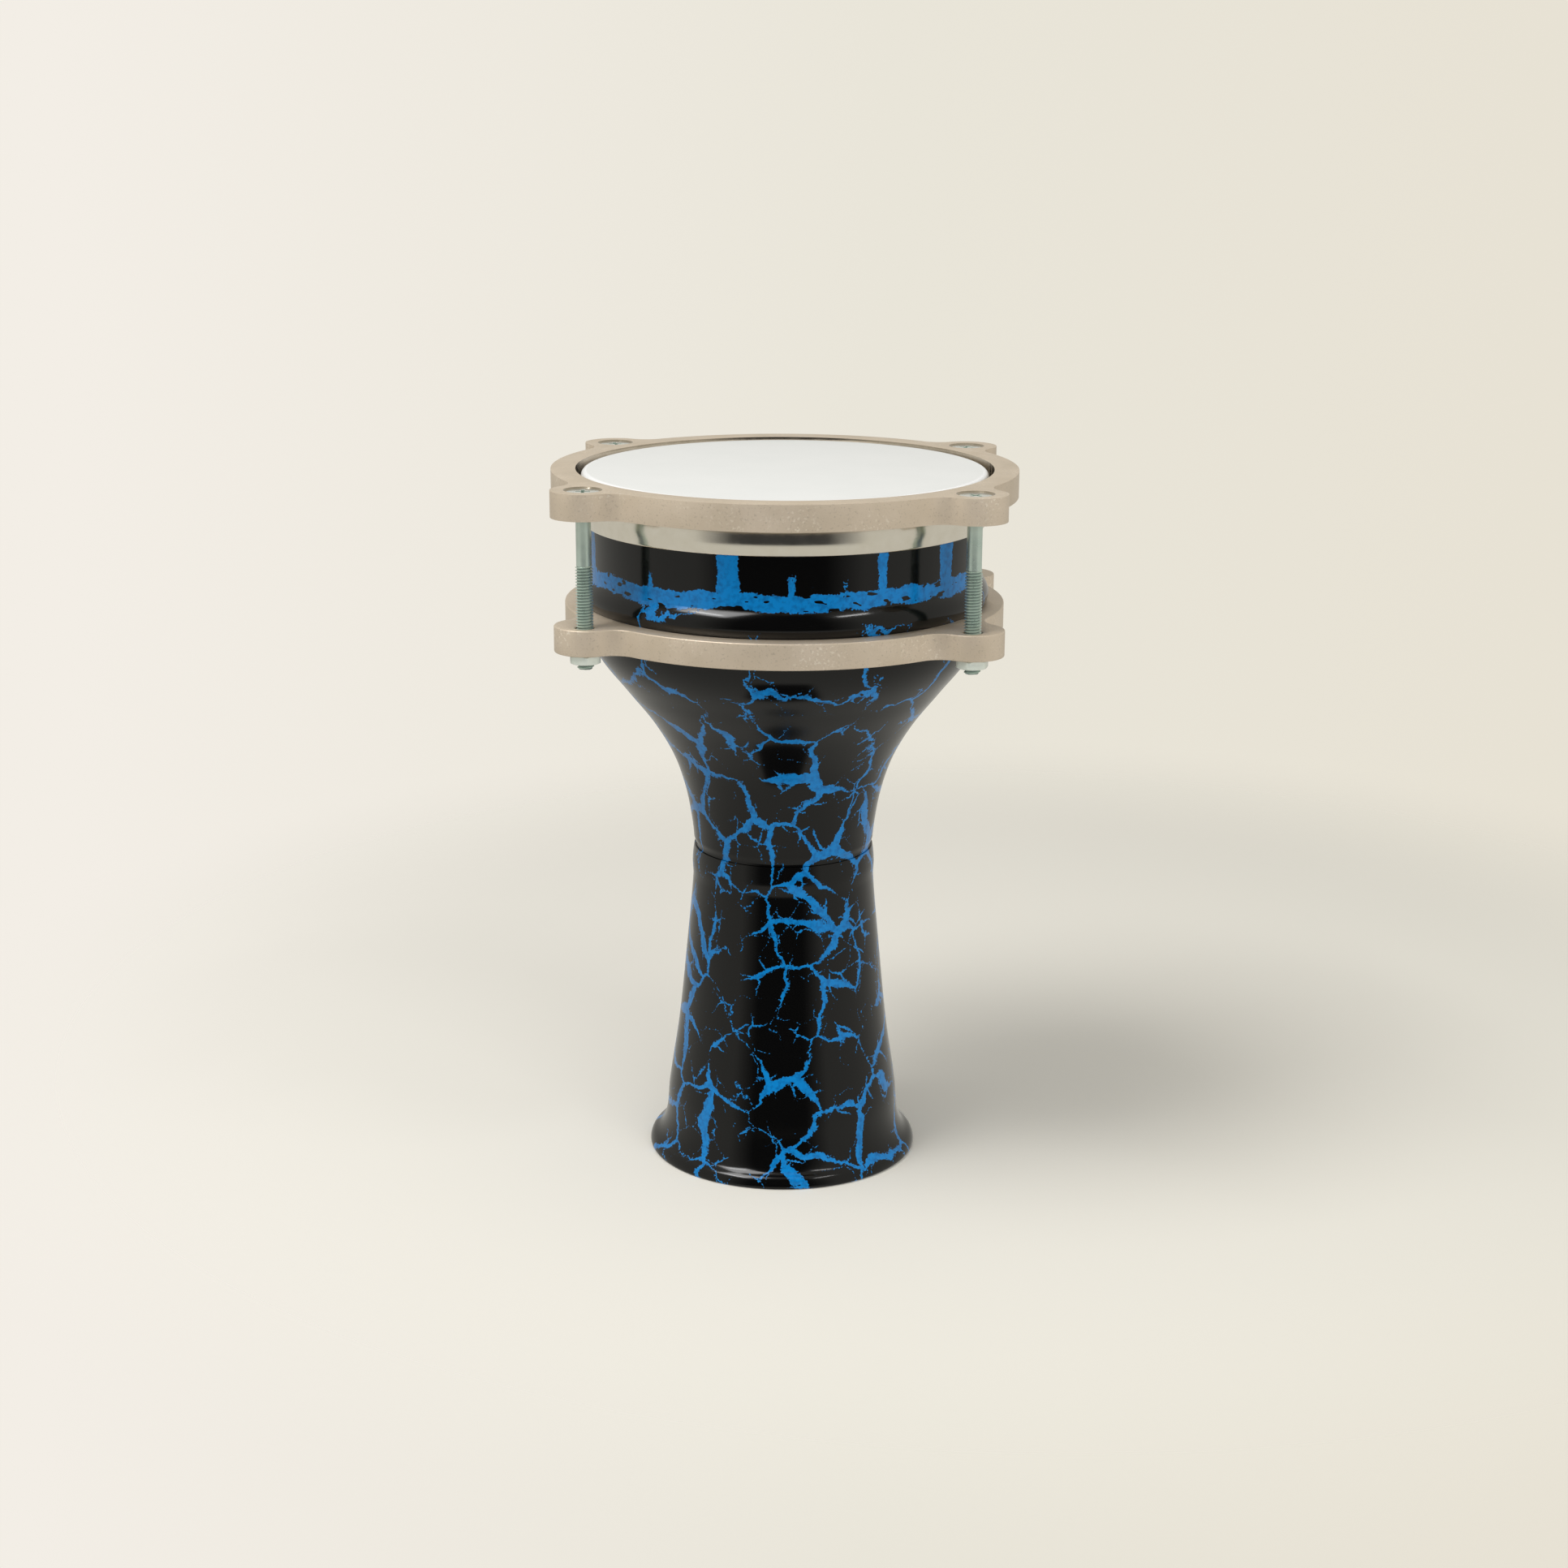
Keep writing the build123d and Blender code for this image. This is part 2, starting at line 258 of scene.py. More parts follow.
stem_section = (
    stem_outside + foot[1:] + stem_inside[::-1]
    + [(sleeve_bore, ledge), (sleeve_bore, SLEEVE_TOP[1] * MM), stem_outside[0]]
)
stem = turned("stem", stem_section)
soften(stem, 35)

# %% [markdown]
# The crackle pattern has to follow the surface, so the shell gets a UV map of its own: the turn
# round the axis sideways, and upwards the climb along the wall divided by its radius there.
# Such a map keeps angles true, so the cells of the paint are as wide as they are tall everywhere.
# The one seam runs down the back.

# %% A wrap for the paint
outline = [point for point in rim[3:] + bead + bowl_outside + stem_outside + foot[1:]][::-1]
climb = [0.0]
for (r0, z0), (r1, z1) in zip(outline, outline[1:]):
    climb.append(climb[-1] + math.hypot(r1 - r0, z1 - z0) * 2 / (r0 + r1))
levels = [height for _, height in outline]


def wrap(part):
    """The part's paint map: its turn and its climb, both as shares of a full turn."""
    layer = part.data.uv_layers.new(name="wrap")
    for face in part.data.polygons:
        middle = math.atan2(face.center.x, -face.center.y)
        for corner in face.loop_indices:
            place = part.data.vertices[part.data.loops[corner].vertex_index].co
            turn = math.atan2(place.x, -place.y)
            turn += math.tau * ((middle - turn > math.pi) - (turn - middle > math.pi))
            up = np.interp(place.z, levels, climb)
            layer.data[corner].uv = (turn / math.tau + 0.5, up / math.tau)


for part in (bowl, stem):
    wrap(part)
print(f"the wall climbs {climb[-1]:.2f} radii from foot to rim")

# %% [markdown]
# The two rings are castings with four lugs. Their outline is drawn with one corner that is spun
# along arcs: round the ring, back round a hollow, round a lug, and out by the next hollow.
# Where the hollow touches ring and lug follows from the three radii, by the law of cosines.
# The outline is filled, extruded to its thickness and bored, and its edges are rounded.

# %% Lugged rings
LUG_RADIUS = 11.0 * MM
LUG_BLEND = 9.0 * MM
RING_EDGE = 0.6 * MM
HOLE_RADIUS = 3.25 * MM


def between(side, other, opposite):
    """The angle between two sides of a triangle."""
    return math.acos((side * side + other * other - opposite * opposite) / (2 * side * other))


def sweep(angle, centre, steps):
    """Carry the selected corner anticlockwise round a centre, as a chain of edges."""
    bpy.ops.mesh.spin(steps=steps, angle=angle, center=(centre[0], centre[1], 0), axis=(0, 0, -1))


def lugged_ring(name, outer, lugs, bottom, thickness):
    """A ring of the outer radius with a lug round each given centre."""
    reach = Vector(lugs[0]).length
    lean = between(reach, outer + LUG_BLEND, LUG_RADIUS + LUG_BLEND)
    hollow = between(outer + LUG_BLEND, LUG_RADIUS + LUG_BLEND, reach)
    crown = math.tau - 2 * between(reach, LUG_RADIUS + LUG_BLEND, outer + LUG_BLEND)
    turns = [math.atan2(y, x) % math.tau for x, y in lugs]
    start = turns[0] - lean
    ring = pencil_line(name, [(outer * math.cos(start), outer * math.sin(start), 0)])
    for turn, after in zip(turns, turns[1:] + [turns[0] + math.tau]):
        for side in (-1, 1):
            way = turn + side * lean
            centre = (outer + LUG_BLEND) * Vector((math.cos(way), math.sin(way)))
            sweep(-hollow, centre, 12)
            if side < 0:
                sweep(crown, reach * Vector((math.cos(turn), math.sin(turn))), 40)
        free = after - turn - 2 * lean
        sweep(free, (0, 0), round(math.degrees(free) / 1.5))
    bpy.ops.mesh.select_all(action="SELECT")
    bpy.ops.mesh.remove_doubles(threshold=WELD)
    bpy.ops.mesh.edge_face_add()
    bpy.ops.transform.translate(value=(0, 0, bottom))
    bpy.ops.mesh.extrude_region_move(TRANSFORM_OT_translate={"value": (0, 0, thickness)})
    bpy.ops.mesh.select_all(action="SELECT")
    bpy.ops.mesh.normals_make_consistent(inside=False)
    bpy.ops.object.mode_set(mode="OBJECT")
    return ring


def drill(part, section, places, steps=48):
    """Cut a turned shape out of a part at each place."""
    for x, y in places:
        tool = turned("drill", section, steps)
        tool.data.transform(Matrix.Translation((x, y, 0)))
        cut(part, tool)


def round_edges(part, width, segments=3, angle=30, finish=-1):
    """Round every edge that is sharper than the angle. The new faces can take another finish."""
    use(part, "BEVEL", width=width, segments=segments, limit_method="ANGLE", material=finish,
        angle_limit=math.radians(angle), miter_outer="MITER_ARC", use_clamp_overlap=True)


def plug(radius, low, high):
    """The half section of a plain cylinder on the axis."""
    return [(0, low), (radius, low), (radius, high), (0, high)]


screw_places = [axis_of(f"tension_screw_{corner}") for corner in CORNERS]
thickness = ring_top - ring_bottom
TENSION_BORE = 73.0 * MM
REBATE_RADIUS = 75.6 * MM
REBATE_DEPTH = 2.3 * MM
COUNTERSINK = 6.5 * MM
CLEAR = 1.0 * MM         # a cutting tool runs past the faces by this much
lug_places = sorted(screw_places, key=lambda place: math.atan2(place[1], place[0]) % math.tau)

tension_ring = lugged_ring(
    "tension_ring_cast", half_width("tension_ring"), lug_places, ring_bottom, thickness)
drill(tension_ring, plug(TENSION_BORE, ring_bottom - CLEAR, ring_top + CLEAR), [(0, 0)], 240)
drill(tension_ring, plug(REBATE_RADIUS, ring_bottom - CLEAR, ring_bottom + REBATE_DEPTH), [(0, 0)], 240)
cone_end = ring_top - COUNTERSINK + HOLE_RADIUS
countersunk = [(0, ring_top + CLEAR), (COUNTERSINK + CLEAR, ring_top + CLEAR), (HOLE_RADIUS, cone_end),
               (HOLE_RADIUS, ring_bottom - CLEAR), (0, ring_bottom - CLEAR)]
drill(tension_ring, countersunk, screw_places)
# The bevel's faces take the ring's second finish: smoother, and brighter as a painted highlight along the
# edges.
round_edges(tension_ring, RING_EDGE, finish=1)
soften(tension_ring, 40)

# %% [markdown]
# The lower ring is the same shape, a little smaller, and its lugs sit further in.
# Its bore passes over the wall, and the bowl's bead stops it.

# %% The counter ring
COUNTER_BORE = 69.5 * MM
LUG_SHIFT = 5.0 * MM     # its lugs are this much nearer the middle, front to back
counter_lugs = [(x, y - math.copysign(LUG_SHIFT, y)) for x, y in lug_places]
counter_ring = lugged_ring(
    "counter_ring_cast", half_width("counter_ring"), counter_lugs, counter_bottom, thickness)
drill(counter_ring, plug(COUNTER_BORE, counter_bottom - CLEAR, counter_top + CLEAR), [(0, 0)], 240)
drill(counter_ring, plug(HOLE_RADIUS, counter_bottom - CLEAR, counter_top + CLEAR), screw_places)
# The bevel's faces take the ring's second finish: smoother, and brighter as a painted highlight along the
# edges.
round_edges(counter_ring, RING_EDGE, finish=1)
soften(counter_ring, 40)

# %% [markdown]
# The head is one sheet of plastic film, hot-pressed over its rim: flat on top, with a small round
# corner, a short collar, and a brim that the hoop's flange and a lock ring hold between them.

# %% Film, hoop and lock ring
FILM = 0.3 * MM
FILM_RADIUS = 71.1 * MM
FILM_CORNER = 2.0 * MM
film_brim = half_width("head_film")
flat_edge = FILM_RADIUS - FILM_CORNER
corner_centre = (flat_edge, film_top - FILM_CORNER)
film_section = (
    [(0, film_top)] + arc(corner_centre, FILM_CORNER, 90, 0, 8)
    + [(FILM_RADIUS, flange_top + FILM), (film_brim, flange_top + FILM), (film_brim, flange_top)]
    + [(FILM_RADIUS - FILM, flange_top)] + arc(corner_centre, FILM_CORNER - FILM, 0, 90, 8)
    + [(0, film_top - FILM)]
)
film = turned("drum_film", film_section)
soften(film, 35)

HOOP_OUTER = 70.9 * MM
HOOP_WALL = 1.2 * MM
HOOP_BULGE = 0.8 * MM    # how far the collar's middle stands out
HOOP_ROUNDING = 0.6 * MM
flange_radius = half_width("head_hoop")
collar = faired(
    [(HOOP_OUTER - HOOP_BULGE, ring_bottom), (HOOP_OUTER, (ring_bottom + hoop_bottom) / 2),
     (HOOP_OUTER - HOOP_BULGE * 0.6, hoop_bottom + HOOP_ROUNDING)],
)
roll_centre = (HOOP_OUTER - HOOP_BULGE * 0.6 - HOOP_ROUNDING, hoop_bottom + HOOP_ROUNDING)
hoop_section = (
    [(HOOP_OUTER - HOOP_WALL, flange_top), (flange_radius, flange_top), (flange_radius, ring_bottom)]
    + collar + arc(roll_centre, HOOP_ROUNDING, 0, -180, 8)[1:] + [(HOOP_OUTER - HOOP_WALL, flange_top)]
)
hoop = turned("drum_hoop", hoop_section)
soften(hoop, 35)

LOCK_EDGE = 0.15 * MM
lock_inner = 71.35 * MM
lock_outer = half_width("head_lock_ring")
lock_section = [(lock_inner, lock_bottom), (lock_outer, lock_bottom), (lock_outer, lock_top - LOCK_EDGE),
                (lock_outer - LOCK_EDGE, lock_top), (lock_inner + LOCK_EDGE, lock_top),
                (lock_inner, lock_top - LOCK_EDGE), (lock_inner, lock_bottom)]
lock_ring = turned("drum_lock_ring", lock_section)
soften(lock_ring, 35)

# %% [markdown]
# The tension screws are M6 by 60 mm with a flat head. Their thread is rolled, so it is wider
# than the shank above it. One tooth is drawn as a line one pitch tall, and the Screw modifier
# carries it round and up. Bisecting trims the ends flat, and the last turn is turned down
# to a chamfer at the tip and fades into the shank at the top.

# %% A thread
PITCH = 1.0 * MM
THREAD_RADIUS = 2.95 * MM
THREAD_ROOT = 2.35 * MM
THREAD_LENGTH = 36.0 * MM
SHANK_RADIUS = 2.55 * MM
TIP_CHAMFER = 0.7 * MM
RUN_OUT = 0.3            # how steeply the last thread runs out into the shank
UNDERCUT = 0.1 * MM     # and how far under the shank it ends
tooth = [(THREAD_ROOT, 0.0), (THREAD_ROOT, 0.12), (THREAD_RADIUS, 0.44), (THREAD_RADIUS, 0.56),
         (THREAD_ROOT, 0.88), (THREAD_ROOT, 1.0)]
turns = round(THREAD_LENGTH / PITCH) + 3
thread_start = screw_tip - 1.5 * PITCH
thread = pencil_line("thread", [(radius, 0, thread_start + part * PITCH) for radius, part in tooth])
bpy.ops.object.mode_set(mode="OBJECT")
use(thread, "SCREW", angle=math.tau, screw_offset=PITCH, iterations=turns, steps=28,
    render_steps=28, use_merge_vertices=True, merge_threshold=WELD)
thread_top = screw_tip + THREAD_LENGTH
choose(thread)
bpy.ops.object.mode_set(mode="EDIT")
for level, side in ((screw_tip, -1), (thread_top, 1)):
    bpy.ops.mesh.select_all(action="SELECT")
    bpy.ops.mesh.bisect(plane_co=(0, 0, level), plane_no=(0, 0, side), use_fill=True, clear_outer=True)
bpy.ops.mesh.select_all(action="SELECT")
bpy.ops.mesh.remove_doubles(threshold=WELD)
bpy.ops.mesh.normals_make_consistent(inside=False)
bpy.ops.object.mode_set(mode="OBJECT")
for corner in thread.data.vertices:
    radius = math.hypot(corner.co.x, corner.co.y)
    limit = THREAD_RADIUS - max(0, TIP_CHAMFER - (corner.co.z - screw_tip))
    limit = min(limit, SHANK_RADIUS - UNDERCUT + max(0, thread_top - corner.co.z) * RUN_OUT)
    if radius > limit:
        corner.co.x *= limit / radius
        corner.co.y *= limit / radius
soften(thread, 25)

# %% [markdown]
# The head and shank are turned, and joined to the thread. The cross recess is cut with two
# wedges: each starts as a cube, and its lower face is scaled in, so that the slots taper.

# %% A screw
HEAD_RADIUS = 5.5 * MM
HEAD_LIP = 0.3 * MM
HEAD_EDGE = 0.15 * MM
RECESS_SPAN = 6.6 * MM
RECESS_SLOT = 1.5 * MM
RECESS_DEPTH = 2.8 * MM
SLOT_TAPER = (0.45, 0.8)     # how much of each slot's length and width is left at its floor
BURR = 0.08 * MM             # the recess's edges are softened by this much
lip_bottom = screw_top - HEAD_LIP
cone_bottom = lip_bottom - (HEAD_RADIUS - SHANK_RADIUS)
screw_section = [
    (0, screw_top), (HEAD_RADIUS - HEAD_EDGE, screw_top), (HEAD_RADIUS, screw_top - HEAD_EDGE),
    (HEAD_RADIUS, lip_bottom), (SHANK_RADIUS, cone_bottom), (SHANK_RADIUS, thread_top - PITCH),
    (0, thread_top - PITCH),
]
screw = turned("screw", screw_section, 48)
for long_way, wide in ((RECESS_SPAN, RECESS_SLOT), (RECESS_SLOT, RECESS_SPAN)):
    clear_selection()
    bpy.ops.mesh.primitive_cube_add(size=1, location=(0, 0, screw_top))
    bpy.ops.transform.resize(value=(long_way, wide, 2 * RECESS_DEPTH))
    wedge = bpy.context.object
    bpy.ops.object.transform_apply(location=True, rotation=True, scale=True)
    for corner in wedge.data.vertices:
        if corner.co.z < screw_top:
            corner.co.x *= SLOT_TAPER[0]
            corner.co.y *= SLOT_TAPER[1]
    cut(screw, wedge)
round_edges(screw, BURR, segments=1, angle=40)
choose(thread, screw)
bpy.ops.object.join()
soften(screw, 30)

# %% [markdown]
# The nuts are thin hexagons. A six-sided cylinder is the blank, and a turned envelope with sloping
# faces trims its corners, as the chamfer on a real nut does. The bore is countersunk below.

# %% A nut
ACROSS_FLATS = 10.0 * MM
NUT_HEIGHT = counter_bottom - nut_bottom
NUT_BORE = 3.0 * MM
NUT_FACE = 4.85 * MM     # radius of the flat inside the chamfer
NUT_SLOPE = 0.35 * MM
NUT_SINK = 0.4 * MM      # countersink round the bore
NUT_EDGE = 0.10 * MM
clear_selection()
bpy.ops.mesh.primitive_cylinder_add(vertices=6, radius=ACROSS_FLATS / math.sqrt(3), depth=NUT_HEIGHT,
                                    location=(0, 0, nut_bottom + NUT_HEIGHT / 2))
nut = bpy.context.object
nut.name = "nut"
bpy.ops.object.transform_apply(location=True, rotation=True, scale=True)
skirt = NUT_FACE + 2 * NUT_SLOPE
envelope_section = [
    (0, nut_bottom), (NUT_FACE, nut_bottom), (skirt, nut_bottom + NUT_SLOPE),
    (skirt, counter_bottom - NUT_SLOPE), (NUT_FACE, counter_bottom), (0, counter_bottom),
]
cut(nut, turned("envelope", envelope_section, 96), "INTERSECT")
bore_section = [
    (0, nut_bottom - CLEAR), (NUT_BORE + NUT_SINK + CLEAR, nut_bottom - CLEAR),
    (NUT_BORE, nut_bottom + NUT_SINK), (NUT_BORE, counter_bottom + CLEAR), (0, counter_bottom + CLEAR),
]
cut(nut, turned("bore", bore_section, 48))
round_edges(nut, NUT_EDGE, segments=2, angle=25)
soften(nut, 30)

# %% [markdown]
# One screw and one nut are enough: the others are copies with a mesh of their own. Each is turned
# by its own amount, since nobody lines up screws, and then put at its corner.

# %% Four screws and four nuts
SCREW_TURNS = (4, 41, 68, 17)
NUT_TURNS = (10, 46, 22, 35)


def placed(pattern, name, turn, place):
    """A copy of a pattern with its own mesh, turned by degrees and put at a place."""
    copy = pattern.copy()
    copy.data = pattern.data.copy()
    copy.name = name
    bpy.context.collection.objects.link(copy)
    move = Matrix.Translation((place[0], place[1], 0))
    copy.data.transform(move @ Matrix.Rotation(math.radians(turn), 4, "Z"))
    return copy


screws = {}
nuts = {}
for corner, place, screw_turn, nut_turn in zip(CORNERS, screw_places, SCREW_TURNS, NUT_TURNS):
    screws[corner] = placed(screw, f"screw_{corner}", screw_turn, place)
    nuts[corner] = placed(nut, f"nut_{corner}", nut_turn, place)
for pattern in (screw, nut):
    bpy.data.objects.remove(pattern)
print("screws:", len(screws), "nuts:", len(nuts))

# %% [markdown]
# Each finish is a node tree. A colour is written as its hex value, as a paint chart gives it,
# and turned to the linear light that the renderer works in.

# %% Colour and nodes
def linear(code):
    """A hex colour as linear red, green, blue and alpha."""
    shares = [int(code[i:i + 2], 16) / 255 for i in (0, 2, 4)]
    return tuple(s / 12.92 if s <= 0.04045 else ((s + 0.055) / 1.055) ** 2.4 for s in shares) + (1,)


def add(tree, kind, links=None, **settings):
    """Add a node and give back its outputs. Its links hold a socket or a value for each input."""
    node = tree.nodes.new(kind)
    for name, value in settings.items():
        setattr(node, name, value)
    for name, value in (links or {}).items():
        if isinstance(value, bpy.types.NodeSocket):
            tree.links.new(value, node.inputs[name])
        else:
            node.inputs[name].default_value = value
    return node.outputs


def blank_material(name):
    """A new material whose tree is empty, and the tree."""
    material = bpy.data.materials.new(name)
    material.use_nodes = True
    material.node_tree.nodes.clear()
    return material, material.node_tree


print("black coat:", [round(share, 4) for share in linear("050505")[:3]])

# %% [markdown]
# The shell's finish is crackle paint: a gloss blue base, and a black top coat that shrinks
# as it dries and tears open, so that the blue shows in the cracks. The eye sees black plates
# 15 to 30 mm wide, tapering cracks up to 4 mm wide with torn, grainy edges, and a clear gloss.
# The cracks are the borders of Voronoi cells on the wrap. Noise bends them and changes their
# width. A finer net of cracks is let in only close to the wide ones, so that it ends in thin
# branches. Both nets close up at the wrap's seam, down the back.

# %% The net of cracks
CELLS_PER_RADIAN = 1.9
BRANCHES_PER_RADIAN = 4.2
BENDS = [(14, 0.30), (3.2, 0.055), (0.9, 0.026)]    # a lump's width in mm, and its pull in radii
GAPE_PATCH = 22 * MM     # how wide the patches are where the main cracks gape or close
BRANCH_PATCH = 11 * MM   # and those where the fine net is let in
BRANCH_REACH = 7.0 * MM  # branches taper off this far from a main crack
BRANCH_HALF = 0.9 * MM   # half the width of the widest branch
SEAM_CLOSING = 12 * MM   # half the widest crack, for each radian from the seam


def crack_net(tree, place, lie, radius, seam):
    """How deep inside a crack each point lies, in metres."""
    bent = lie
    for width, pull in BENDS:
        lump = add(tree, "ShaderNodeTexNoise", {"Vector": place, "Scale": 1 / (width * MM)})["Color"]
        bent = add(tree, "ShaderNodeVectorMath", {0: lump, 1: (pull, pull, pull), 2: bent},
                   operation="MULTIPLY_ADD")[0]
    nets = []
    for cells in (CELLS_PER_RADIAN, BRANCHES_PER_RADIAN):
        border = add(tree, "ShaderNodeTexVoronoi", {"Vector": bent, "Scale": cells, "Randomness": 1.0},
                     voronoi_dimensions="2D", feature="DISTANCE_TO_EDGE")["Distance"]
        share = add(tree, "ShaderNodeMath", {0: border, 1: cells}, operation="DIVIDE")[0]
        nets.append(add(tree, "ShaderNodeMath", {0: share, 1: radius}, operation="MULTIPLY")[0])
    main, fine = nets

    patches = add(tree, "ShaderNodeTexNoise", {
        "Vector": place, "Scale": 1 / GAPE_PATCH, "Detail": 1.0})["Fac"]
    half = add(tree, "ShaderNodeMapRange", {
        "Value": patches, "From Min": 0.36, "From Max": 0.66,
        "To Min": -0.12 * MM, "To Max": 1.7 * MM}, clamp=False)[0]
    most = add(tree, "ShaderNodeMath", {0: seam, 1: SEAM_CLOSING}, operation="MULTIPLY")[0]
    half = add(tree, "ShaderNodeMath", {0: half, 1: most}, operation="MINIMUM")[0]
    wide = add(tree, "ShaderNodeMath", {0: half, 1: main}, operation="SUBTRACT")[0]

    patches = add(tree, "ShaderNodeTexNoise", {
        "Vector": place, "Scale": 1 / BRANCH_PATCH, "Detail": 1.0})["Fac"]
    gate = add(tree, "ShaderNodeMapRange", {
        "Value": patches, "From Min": 0.56, "From Max": 1.0, "To Max": 1.1 * MM}, clamp=False)[0]
    near = add(tree, "ShaderNodeMapRange", {
        "Value": main, "From Max": BRANCH_REACH, "To Min": 0.35 * MM, "To Max": -0.15 * MM}, clamp=False)[0]
    half = add(tree, "ShaderNodeMath", {0: near, 1: gate}, operation="ADD")[0]
    half = add(tree, "ShaderNodeMath", {0: half, 1: most}, operation="MINIMUM")[0]
    half = add(tree, "ShaderNodeMath", {0: half, 1: BRANCH_HALF}, operation="MINIMUM")[0]
    thin = add(tree, "ShaderNodeMath", {0: half, 1: fine}, operation="SUBTRACT")[0]
    return add(tree, "ShaderNodeMath", {0: wide, 1: thin}, operation="MAXIMUM")[0]


print(f"cells about {40 / CELLS_PER_RADIAN:.0f} mm wide where the radius is 40 mm")

# %% [markdown]
# Above the bead the coat tore along the wall instead: one band goes round the drum, ragged at
# both edges and with small black islands drawn out along it, and upright strips rise from it.

# %% The torn band and its strips
BAND_LEVEL = bead_top + 2.9 * MM
BAND_HALF = 3.0 * MM
# Each strip: degrees from the front, half its width and how far it climbs, in mm.
STRIPS = [(-13.5, 3.7, 40), (30, 1.7, 40), (54, 3.6, 40), (-38, 0.7, 7), (4, 0.8, 5), (19, 0.5, 5),
          (-70, 2.4, 40), (86, 0.9, 8), (104, 3.0, 40), (-101, 0.8, 7), (-124, 3.8, 40), (133, 1.4, 40),
          (158, 3.3, 40), (-152, 1.6, 40), (-172, 0.8, 6)]
# Each swing: a lump's width in mm, its detail, and how far it carries an edge, in mm.
SWINGS = {"ragged": (7, 3.0, 3.8), "sway": (6, 2.0, 2.8), "drift": (30, 0.0, 4.0)}


def torn_band(tree, place, level, radius, turn):
    """How deep inside the band or a strip each point lies, in metres."""
    swings = {}
    for name, (width, detail, swing) in SWINGS.items():
        lump = add(tree, "ShaderNodeTexNoise", {
            "Vector": place, "Scale": 1 / (width * MM), "Detail": detail})["Fac"]
        swings[name] = add(tree, "ShaderNodeMapRange", {
            "Value": lump, "To Min": -swing / 2 * MM, "To Max": swing / 2 * MM}, clamp=False)[0]
    above = add(tree, "ShaderNodeMath", {0: level, 1: BAND_LEVEL}, operation="SUBTRACT")[0]
    drifted = add(tree, "ShaderNodeMath", {0: above, 1: swings["drift"]}, operation="ADD")[0]
    off = add(tree, "ShaderNodeMath", {0: drifted}, operation="ABSOLUTE")[0]
    inside = add(tree, "ShaderNodeMath", {0: BAND_HALF, 1: off}, operation="SUBTRACT")[0]
    band = add(tree, "ShaderNodeMath", {0: inside, 1: swings["ragged"]}, operation="ADD")[0]
    drawn_out = add(tree, "ShaderNodeMapping", {"Vector": place, "Scale": (1, 1, 2.6)})[0]
    spots = add(tree, "ShaderNodeTexNoise", {
        "Vector": drawn_out, "Scale": 1 / (5.0 * MM), "Detail": 1.0})["Fac"]
    island = add(tree, "ShaderNodeMapRange", {
        "Value": spots, "From Min": 0.625, "From Max": 0.665, "To Max": 5 * MM})[0]
    band = add(tree, "ShaderNodeMath", {0: band, 1: island}, operation="SUBTRACT")[0]

    strips = -1.0
    for angle, half, reach in STRIPS:
        off = add(tree, "ShaderNodeMath", {0: turn, 1: math.radians(angle)}, operation="SUBTRACT")[0]
        off = add(tree, "ShaderNodeMath", {0: off}, operation="ABSOLUTE")[0]
        off = add(tree, "ShaderNodeMath", {0: off, 1: radius}, operation="MULTIPLY")[0]
        strip = add(tree, "ShaderNodeMath", {0: half * MM, 1: off}, operation="SUBTRACT")[0]
        end = add(tree, "ShaderNodeMapRange", {
            "Value": above, "From Max": reach * MM,
            "To Min": 0.15 * reach * MM, "To Max": 0.0}, clamp=False)[0]
        strip = add(tree, "ShaderNodeMath", {0: strip, 1: end}, operation="MINIMUM")[0]
        strips = add(tree, "ShaderNodeMath", {0: strips, 1: strip}, operation="MAXIMUM")[0]
    strips = add(tree, "ShaderNodeMath", {0: strips, 1: swings["sway"]}, operation="ADD")[0]
    strips = add(tree, "ShaderNodeMath", {0: strips, 1: above}, operation="MINIMUM")[0]
    return add(tree, "ShaderNodeMath", {0: band, 1: strips}, operation="MAXIMUM")[0]


print(len(STRIPS), "strips above the band")

# %% [markdown]
# The paint puts the two together. The net thins out over the bead and stops above it. Grains of
# the top coat make every edge torn. Where the coat is open the surface is a little lower and
# rougher, and the black coat has a faint ripple, as sprayed paint does.

